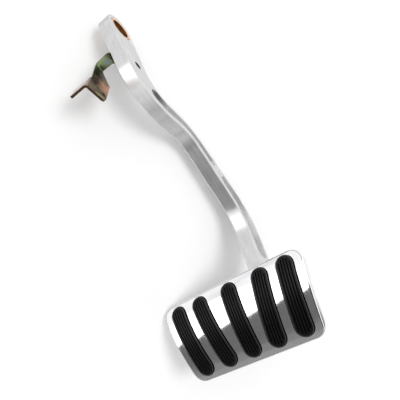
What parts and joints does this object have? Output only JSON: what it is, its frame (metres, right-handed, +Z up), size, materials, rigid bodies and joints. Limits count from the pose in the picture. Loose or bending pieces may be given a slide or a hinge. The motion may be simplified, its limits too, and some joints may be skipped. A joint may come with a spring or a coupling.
{
  "type": "brake pedal",
  "caption": "Swan-neck aluminium brake pedal with a bushed pivot eye, a push-rod pin hole, a folded switch bracket and a curved foot pad with ribbed rubber inserts.",
  "frame": {"origin": "centre of the pivot bore, in the middle of the arm's thickness", "axes": "+X along the pivot axis to the driver's right, -Y towards the driver, +Z up with the pedal hanging at rest"},
  "size_m": [0.137, 0.1218, 0.3108],
  "materials": {
    "arm_aluminium": "machined and lightly brushed",
    "pad_aluminium": "polished",
    "insert_rubber": "moulded, satin",
    "bush_bronze": "sintered, oiled",
    "bracket_zinc": "yellow zinc plated",
    "fixing_steel": "plain zinc plated"
  },
  "bodies": {
    "root": {"pedal_arm": "arm_aluminium", "pivot_bush": "bush_bronze", "pedal_pad": "pad_aluminium", "rubber_insert_1": "insert_rubber", "rubber_insert_2": "insert_rubber", "rubber_insert_3": "insert_rubber", "rubber_insert_4": "insert_rubber", "rubber_insert_5": "insert_rubber", "pad_screw_1": "fixing_steel", "pad_screw_2": "fixing_steel", "switch_bracket": "bracket_zinc", "bracket_screw_1": "fixing_steel", "bracket_screw_2": "fixing_steel", "bracket_washer_1": "fixing_steel", "bracket_washer_2": "fixing_steel"}
  },
  "joints": []
}
